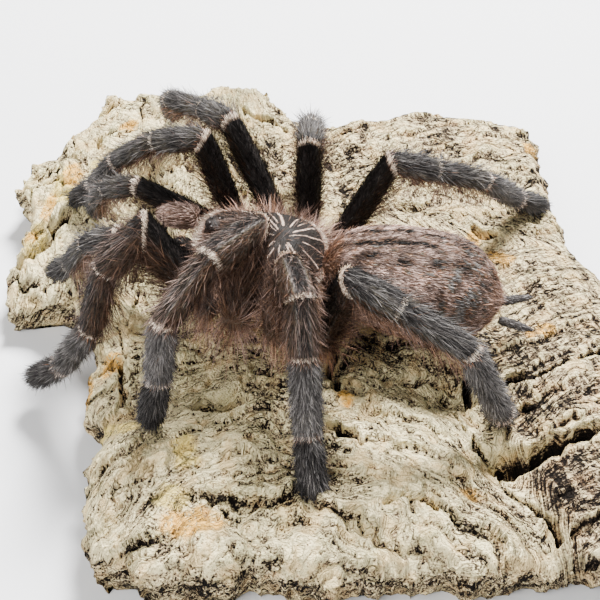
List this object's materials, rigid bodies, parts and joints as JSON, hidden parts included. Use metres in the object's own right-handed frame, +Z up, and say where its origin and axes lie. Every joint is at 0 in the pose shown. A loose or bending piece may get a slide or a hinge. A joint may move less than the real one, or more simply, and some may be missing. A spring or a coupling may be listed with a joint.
{
  "type": "tarantula specimen on cork bark",
  "caption": "Dried tarantula specimen posed standing on an irregular slab of cork bark, with legs arched, palps forward and spinnerets spread.",
  "frame": {"origin": "point of the slab's flat underside below the front body, just behind the carapace's middle", "axes": "+Z up out of the slab's underside, -X towards the head, -Y towards the specimen's left side"},
  "size_m": [0.1076, 0.1134, 0.0403],
  "materials": {
    "cork_bark": "rough, natural outer bark",
    "carapace": "satin, fine short hair",
    "coxae": "furred",
    "abdomen": "furred, velvety",
    "spinneret": "short hair",
    "chelicera": "short hair",
    "fang": "gloss",
    "leg_proximal": "furred",
    "leg_distal": "furred"
  },
  "bodies": {
    "root": {"cork_bark": "cork_bark", "carapace": "carapace", "coxae_sternum": "coxae", "abdomen": "abdomen", "spinneret_l": "spinneret", "spinneret_r": "spinneret", "chelicera_l": "chelicera", "chelicera_r": "chelicera", "fang_l": "fang", "fang_r": "fang", "leg_l1_femur": "leg_proximal", "leg_l1_patella": "leg_proximal", "leg_l1_tibia": "leg_distal", "leg_l1_metatarsus": "leg_distal", "leg_l1_tarsus": "leg_distal", "leg_l2_femur": "leg_proximal", "leg_l2_patella": "leg_proximal", "leg_l2_tibia": "leg_distal", "leg_l2_metatarsus": "leg_distal", "leg_l2_tarsus": "leg_distal", "leg_l3_femur": "leg_proximal", "leg_l3_patella": "leg_proximal", "leg_l3_tibia": "leg_distal", "leg_l3_metatarsus": "leg_distal", "leg_l3_tarsus": "leg_distal", "leg_l4_femur": "leg_proximal", "leg_l4_patella": "leg_proximal", "leg_l4_tibia": "leg_distal", "leg_l4_metatarsus": "leg_distal", "leg_l4_tarsus": "leg_distal", "palp_l_femur": "leg_proximal", "palp_l_patella": "leg_proximal", "palp_l_tibia": "leg_distal", "palp_l_tarsus": "leg_distal", "leg_r1_femur": "leg_proximal", "leg_r1_patella": "leg_proximal", "leg_r1_tibia": "leg_distal", "leg_r1_metatarsus": "leg_distal", "leg_r1_tarsus": "leg_distal", "leg_r2_femur": "leg_proximal", "leg_r2_patella": "leg_proximal", "leg_r2_tibia": "leg_distal", "leg_r2_metatarsus": "leg_distal", "leg_r2_tarsus": "leg_distal", "leg_r3_femur": "leg_proximal", "leg_r3_patella": "leg_proximal", "leg_r3_tibia": "leg_distal", "leg_r3_metatarsus": "leg_distal", "leg_r3_tarsus": "leg_distal", "leg_r4_femur": "leg_proximal", "leg_r4_patella": "leg_proximal", "leg_r4_tibia": "leg_distal", "leg_r4_metatarsus": "leg_distal", "leg_r4_tarsus": "leg_distal", "palp_r_femur": "leg_proximal", "palp_r_patella": "leg_proximal", "palp_r_tibia": "leg_distal", "palp_r_tarsus": "leg_distal"}
  },
  "joints": []
}
